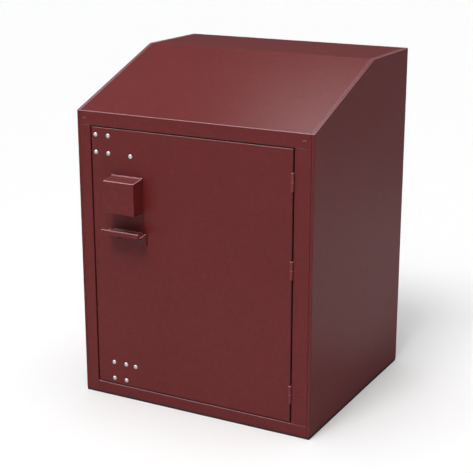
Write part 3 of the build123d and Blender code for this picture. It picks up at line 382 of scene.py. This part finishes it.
# %% [markdown]
# ## Dressing the imported parts
#
# The imported model says which finish each part has by the name of its material slot. That gives
# every part its material here. Some painted parts get a coat of their own, with its own painted
# highlight on edges that look up: none on the stiles, and a brighter one on the hood, the side
# panels, the ledge, the lock cover and the hinges.

# %% Dress the parts
HINGE_PLACES = ("lower", "middle", "upper")
FINISHES = {"maroon_paint": maroon, "black_zinc": black_zinc, "bright_zinc": bright_zinc,
            "plated_steel": steel, "black_rubber": black_rubber}
OWN_COATS = {"left_stile": unhighlighted_maroon, "right_stile": unhighlighted_maroon,
             "hood_panel": hood_maroon,
             "left_side_panel": rim_maroon, "right_side_panel": rim_maroon,
             "lock_cover": strong_highlight_maroon, "handle_ledge": strong_highlight_maroon}
for place in HINGE_PLACES:
    OWN_COATS[place + "_door_leaf"] = hinge_maroon
    OWN_COATS[place + "_frame_leaf"] = hinge_maroon

slot_of = {}
for name, node in frame["nodes"].items():
    for slot in node.material_slots:
        slot_of[name] = slot.material.name
        slot.material = OWN_COATS.get(name, FINISHES[slot_of[name]])
print("parts dressed", len(slot_of))

# %% [markdown]
# ## Soft edges on the sheet metal
#
# A laser cuts a sheet with a knife-sharp edge, and the shop then dulls it with a deburring disc.
# The powder coat rounds it further. A solid model stops at the sharp edge, so each sheet part is
# copied here, its loose triangles are joined, flat faces are made whole again, and a Bevel
# modifier takes a fraction of a millimetre off every edge. The copy stands for the CAD part,
# which stays as it is. Modelling each rim by hand would give the same edge with far more work.

# %% Soft edges
JOIN_DISTANCE = 0.00002
FLAT_ANGLE = math.radians(0.6)
BEND_ANGLE = math.radians(38.0)
EDGE_STEPS = 2
DULLED_MM = {"hood_panel": 0.7, "left_side_panel": 0.7, "right_side_panel": 0.7,
             "left_stile": 0.6, "right_stile": 0.6, "bottom_rail": 0.6, "back_panel": 0.6,
             "floor_pan": 0.6, "door_pan": 0.6, "lock_cover": 0.6, "handle_ledge": 0.6,
             "slide_plate": 0.6, "deposit_bezel": 0.6, "deposit_flap": 0.6, "chute_plate": 0.5,
             "fixed_eye": 0.7, "moving_eye": 0.7, "door_stiffener": 0.5}


def activate(piece):
    """Selects one piece alone, because an operator acts on all that is selected."""
    bpy.ops.object.select_all(action="DESELECT")
    piece.select_set(True)
    bpy.context.view_layer.objects.active = piece


def body_of(name):
    """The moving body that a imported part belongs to."""
    return next(body for body, members in frame["record"]["behaviour"]["bodies"].items()
                if name in members)


def soften(name, width):
    """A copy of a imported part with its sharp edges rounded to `width` metres."""
    source = frame["nodes"][name]
    piece = bpy.data.objects.new(name + "_coated", source.data.copy())
    bpy.context.scene.collection.objects.link(piece)
    activate(piece)
    bpy.ops.object.mode_set(mode="EDIT")
    bpy.ops.mesh.select_all(action="SELECT")
    bpy.ops.mesh.remove_doubles(threshold=JOIN_DISTANCE)
    bpy.ops.mesh.dissolve_limited(angle_limit=FLAT_ANGLE)
    bpy.ops.object.mode_set(mode="OBJECT")
    edge = piece.modifiers.new("dulled_edge", "BEVEL")
    edge.width = width
    edge.segments = EDGE_STEPS
    edge.limit_method = "ANGLE"
    edge.angle_limit = BEND_ANGLE
    bpy.ops.object.modifier_apply(modifier=edge.name)
    bpy.ops.object.shade_smooth_by_angle(angle=BEND_ANGLE)
    flat = piece.modifiers.new("flat_faces_stay_flat", "WEIGHTED_NORMAL")
    flat.keep_sharp = True
    bpy.ops.object.modifier_apply(modifier=flat.name)
    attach(piece, body_of(name))
    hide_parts(name)
    return piece


for name, dulled_mm in DULLED_MM.items():
    piece = soften(name, dulled_mm / 1000.0)
    print(piece.name, "faces", len(piece.data.polygons))

# %% [markdown]
# ## Black seals and painted shade round the door
#
# Self-adhesive foam strips line the gap round the door and keep rain off the books. Their black
# is also painted shade: it makes the gap as dark as the shadow deep inside it. They are cut from
# a roll. One is stuck on the bottom rail, one on the door's top edge and four on its hinge edge,
# where they stop short of the hinges. The strip on the latch side runs up in line with the edge
# of the left stile's door stop. Each strip is a cube of the strip's size whose edges are rounded
# by a bevel, which is how extruded foam looks.

# %% Door seals and painted shade
SEAL_THICKNESS = 0.0008
SEAL_START = 0.0026
SEAL_DEPTH = 0.0130
SEAL_END_GAP = 0.0020
SEAL_OVER_DOOR = 0.003
SEAL_PAST_DOOR = 0.004
HINGE_ROOM = 0.0020
FOAM_ROUNDING = SEAL_THICKNESS * 0.45
FOAM_STEPS = 3
SMOOTH_ANGLE = math.radians(40.0)

door_low, door_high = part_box("door_pan")
front_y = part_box("bottom_rail")[0].y
stop_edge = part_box("left_stile")[1].x
opening_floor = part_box("right_stile")[0].z
seal_front = front_y + SEAL_START
seal_back = seal_front + SEAL_DEPTH


# Each strip is a foam seal whose black is partly painted shade in the door gap.
def seal_and_shade_strip(name, body, x, z):
    """One foam strip as deep as the roll is wide, between two places in x and two in z."""
    low = Vector((x[0], seal_front, z[0]))
    high = Vector((x[1], seal_back, z[1]))
    bpy.ops.object.select_all(action="DESELECT")
    bpy.ops.mesh.primitive_cube_add(size=1.0, location=(low + high) / 2)
    strip = bpy.context.object
    strip.name = name
    strip.scale = high - low
    bpy.ops.object.transform_apply(location=True, rotation=True, scale=True)
    soft = strip.modifiers.new("foam_edge", "BEVEL")
    soft.width = FOAM_ROUNDING
    soft.segments = FOAM_STEPS
    bpy.ops.object.modifier_apply(modifier=soft.name)
    bpy.ops.object.shade_smooth_by_angle(angle=SMOOTH_ANGLE)
    strip.data.materials.append(black_rubber)
    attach(strip, body)
    print(name, "on the", body)


seal_and_shade_strip("left_stile_seal_and_shade", "cabinet", (stop_edge, stop_edge + SEAL_THICKNESS),
           (opening_floor + SEAL_END_GAP, door_high.z + SEAL_OVER_DOOR))
seal_and_shade_strip("bottom_rail_seal_and_shade", "cabinet", (stop_edge + SEAL_END_GAP, door_high.x + SEAL_PAST_DOOR),
           (opening_floor, opening_floor + SEAL_THICKNESS))
seal_and_shade_strip("door_top_seal_and_shade", "door", (door_low.x + SEAL_END_GAP, door_high.x - SEAL_END_GAP),
           (door_high.z, door_high.z + SEAL_THICKNESS))
bottom = door_low.z + SEAL_END_GAP
leaves = [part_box(place + "_door_leaf") for place in HINGE_PLACES]
for number, (leaf_low, leaf_high) in enumerate(leaves + [(door_high, door_high)]):
    seal_and_shade_strip(f"hinge_edge_seal_and_shade_{number + 1}", "door",
               (door_high.x, door_high.x + SEAL_THICKNESS), (bottom, leaf_low.z - HINGE_ROOM))
    bottom = leaf_high.z + HINGE_ROOM

# %% [markdown]
# ## The weld on the finger ledge
#
# The finger ledge is welded to the sliding plate along the back of its shelf, and the paint over
# a hand-run weld keeps its ripples. Small balls of slightly different sizes stand for the puddles
# the welder left. They are joined and remeshed into one skin, which is quicker and more honest
# than carving ripples into a bar.

# %% Ledge weld
SHELF_TOP = 0.5372
PUDDLE_STEP = 0.0023
PUDDLE_RADIUS = 0.00145
PUDDLE_SIZES = (0.8, 1.25)
PUDDLE_STEPS = (0.8, 1.1)
PUDDLE_PROUD = 0.0009
PUDDLE_RISE = 0.0004
SKIN_FINENESS = 0.0005

plate_low, plate_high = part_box("slide_plate")
welder = random.Random(4)
bpy.ops.object.select_all(action="DESELECT")
puddles = []
along = plate_low.x + PUDDLE_STEP
while along < plate_high.x - PUDDLE_STEP:
    bpy.ops.mesh.primitive_uv_sphere_add(
        segments=10, ring_count=6, radius=PUDDLE_RADIUS * welder.uniform(*PUDDLE_SIZES),
        location=(along, plate_low.y - PUDDLE_PROUD, SHELF_TOP + PUDDLE_RISE))
    puddles.append(bpy.context.object)
    along += PUDDLE_STEP * welder.uniform(*PUDDLE_STEPS)
bpy.ops.object.select_all(action="DESELECT")
for puddle in puddles:
    puddle.select_set(True)
weld = puddles[0]
bpy.context.view_layer.objects.active = weld
bpy.ops.object.join()
weld.name = "ledge_weld"
bpy.ops.object.transform_apply(location=True, rotation=True, scale=True)
skin = weld.modifiers.new("one_skin", "REMESH")
skin.mode = "VOXEL"
skin.voxel_size = SKIN_FINENESS
bpy.ops.object.modifier_apply(modifier=skin.name)
bpy.ops.object.shade_smooth()
# The weld's lighter coat is a painted highlight along the bead.
weld.data.materials.append(weld_highlight_maroon)
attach(weld, "latch_slide")
print("weld of", len(puddles), "puddles, faces", len(weld.data.polygons))

# %% [markdown]
# ## Ground welds at the header's corners
#
# The header meets the side flanges in a mitre. The shop welds it and grinds it flush, which
# leaves a faint line across the corner and a small chevron where the disc was lifted. Each is
# made of thin rods sunk in the sheet until only a sliver stands proud, because that is all that
# is left of a ground weld, and a rod gives the sliver a soft edge with no carving.

# %% Corner welds
HEADER_TOP = 0.8790
MITRE_INSET = 0.0010
MITRE_RISE = 0.0020
LEFT_MITRE_PAST_OPENING = 0.0037
RIGHT_MITRE_PAST_OPENING = 0.0040
SEAM_RADIUS = 0.0010
SEAM_SINK = 0.00094
CHEVRON_RADIUS = 0.0014
CHEVRON_SINK = 0.0008
CHEVRON_WING = 0.0055
CHEVRON_HEIGHT = 0.003
CHEVRON_ALONG = 0.45
ROD_SIDES = 12

header_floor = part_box("left_stile")[1].z + MITRE_RISE
header_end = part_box("hood_panel")[1].x - MITRE_INSET
opening_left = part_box("bottom_rail")[0].x
stop_width = stop_edge - opening_left
opening_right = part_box("right_stile")[0].x + stop_width


def sunk_rod(start, end, radius, sink):
    """A rod in the front face from `start` to `end`, given as (x, z)."""
    run = Vector((end[0] - start[0], 0.0, end[1] - start[1]))
    middle = Vector(((start[0] + end[0]) / 2, front_y + sink, (start[1] + end[1]) / 2))
    bpy.ops.mesh.primitive_cylinder_add(
        vertices=ROD_SIDES, radius=radius, depth=run.length, location=middle,
        rotation=run.to_track_quat("Z", "Y").to_euler())
    return bpy.context.object


def finish_mark(mark, name, coat):
    mark.name = name
    activate(mark)
    bpy.ops.object.transform_apply(location=True, rotation=True, scale=True)
    bpy.ops.object.shade_smooth_by_angle(angle=SMOOTH_ANGLE)
    mark.data.materials.append(coat)
    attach(mark, "cabinet")
    print(name, "made")


def corner_weld(name, outer, inner):
    """A ground seam from the outer to the inner corner of the mitre, with its chevron."""
    peak = (outer[0] + (inner[0] - outer[0]) * CHEVRON_ALONG,
            outer[1] + (inner[1] - outer[1]) * CHEVRON_ALONG)
    bpy.ops.object.select_all(action="DESELECT")
    seam = sunk_rod(outer, inner, SEAM_RADIUS, SEAM_SINK)
    foot = peak[1] - CHEVRON_HEIGHT
    left_wing = sunk_rod((peak[0] - CHEVRON_WING, foot), peak, CHEVRON_RADIUS, CHEVRON_SINK)
    right_wing = sunk_rod(peak, (peak[0] + CHEVRON_WING, foot), CHEVRON_RADIUS, CHEVRON_SINK)
    activate(left_wing)
    right_wing.select_set(True)
    bpy.ops.object.join()
    finish_mark(seam, name, unhighlighted_maroon)
    # The chevron's lighter coat is a painted highlight.
    finish_mark(left_wing, name + "_mark", weld_highlight_maroon)


corner_weld("left_corner_weld", outer=(-header_end, HEADER_TOP),
            inner=(opening_left - LEFT_MITRE_PAST_OPENING, header_floor))
corner_weld("right_corner_weld", outer=(header_end, HEADER_TOP),
            inner=(opening_right + RIGHT_MITRE_PAST_OPENING, header_floor))

# %% [markdown]
# ## The studio floor
#
# The box stands on a white floor that runs far past the edge of the view. A white floor would
# also be mirrored in the paint and turn maroon into pink, so rays that come from a glossy surface
# see it grey instead.

# %% Floor
FLOOR_SIZE = 40.0
FLOOR_WHITE = (0.98, 0.98, 0.98)
FLOOR_MIRRORED = (0.21, 0.21, 0.21)

bpy.ops.object.select_all(action="DESELECT")
bpy.ops.mesh.primitive_plane_add(size=FLOOR_SIZE, location=(0.0, 0.0, 0.0))
floor = bpy.context.object
floor.name = "studio_floor"
floor_material, floor_tree, _ = start_material("pale_floor")
floor_rays = Wire.node(floor_tree, "ShaderNodeLightPath")
seen, mirrored = (Wire.node(floor_tree, "ShaderNodeBsdfDiffuse", {}, {"Color": tinted(tone, 1.0)})
                  for tone in (FLOOR_WHITE, FLOOR_MIRRORED))
floor_mix = Wire.node(floor_tree, "ShaderNodeMixShader", {}, {
    "Fac": Wire(floor_tree, floor_rays.outputs["Is Glossy Ray"]),
    1: Wire(floor_tree, seen.outputs["BSDF"]),
    2: Wire(floor_tree, mirrored.outputs["BSDF"])})
Wire.node(floor_tree, "ShaderNodeOutputMaterial", {},
          {"Surface": Wire(floor_tree, floor_mix.outputs["Shader"])})
floor.data.materials.append(floor_material)
print("floor", floor.name, FLOOR_SIZE, "m across")

# %% [markdown]
# ## Sky and lights
#
# Paint shows two things: the light that falls on it, which gives its colour and its shadows, and
# the lights that are mirrored in it, which give its sheen. Each light here says which it does.
# The overhead bank and the lamp in front of the door only light the box, and the front bank is
# also mirrored. All are wide, for soft shadows. The rim bank and the two sheens are only
# mirrored: they draw the highlights on the edges, on the slanted hood and on the right side.

# %% Sky
SKY_FILL = 0.20
SKY_MIRRORED = 0.12
SKY_SEEN = 1.0

world = bpy.data.worlds.new("studio_sky")
world.use_nodes = True
sky_tree = world.node_tree
sky_rays = Wire.node(sky_tree, "ShaderNodeLightPath")
seen_sky = Wire(sky_tree, sky_rays.outputs["Is Camera Ray"])
mirrored_sky = Wire(sky_tree, sky_rays.outputs["Is Glossy Ray"])
sky_strength = (seen_sky * (SKY_SEEN - SKY_FILL) + SKY_FILL
                - mirrored_sky * (SKY_FILL - SKY_MIRRORED))
background = sky_tree.nodes["Background"]
background.inputs["Color"].default_value = (1.0, 1.0, 1.0, 1.0)
sky_tree.links.new(sky_strength.socket, background.inputs["Strength"])
bpy.context.scene.world = world
print("sky", world.name, "fills with", SKY_FILL)


# %% Lights
SUN_DISTANCE = 4.0


def show_in(lamp, mirrored, lighting):
    """Whether a lamp is mirrored in the paint, and whether it lights the box."""
    lamp.visible_glossy = mirrored
    lamp.visible_diffuse = lighting
    print(lamp.name, "mirrored" if mirrored else "", "lighting" if lighting else "")


def sun(name, towards, share, spread, mirrored=True, lighting=True):
    """A far light. `share` is its part of full white on a surface that faces it."""
    direction = Vector(towards)
    bpy.ops.object.light_add(type="SUN", location=direction.normalized() * SUN_DISTANCE)
    lamp = bpy.context.object
    lamp.name = name
    lamp.data.energy = share * math.pi
    lamp.data.angle = math.radians(spread)
    lamp.rotation_euler = direction.to_track_quat("Z", "Y").to_euler()
    show_in(lamp, mirrored, lighting)


def panel(name, place, target, size, power, mirrored=True, lighting=True):
    """A lamp panel of (width, height) that looks at a point."""
    bpy.ops.object.light_add(type="AREA", location=place)
    lamp = bpy.context.object
    lamp.name = name
    lamp.data.shape = "RECTANGLE"
    lamp.data.size, lamp.data.size_y = size
    lamp.data.energy = power
    lamp.rotation_euler = (Vector(target) - Vector(place)).to_track_quat("-Z", "Y").to_euler()
    lamp.visible_camera = False
    show_in(lamp, mirrored, lighting)


sun("overhead_bank", towards=(0.00, 0.05, 1.00), share=0.42, spread=50.0, mirrored=False)
sun("front_bank", towards=(-0.03, -0.55, 0.82), share=0.46, spread=24.0)
sun("rim_bank", towards=(-0.45, -0.40, 0.80), share=1.30, spread=20.0, lighting=False)
panel("front_lamp", place=(-0.10, -1.20, 2.30), target=(0.1, -0.2, 0.7), size=(0.9, 0.9),
      power=5.5, mirrored=False)
panel("hood_sheen", place=(-0.02, 0.22, 2.00), target=(0.33, -0.29, 0.89), size=(0.5, 0.4),
      power=3.3, lighting=False)
panel("side_sheen", place=(1.30, 1.40, 0.012), target=(1.30, 1.40, 1.0), size=(1.6, 2.2),
      power=2.0, lighting=False)
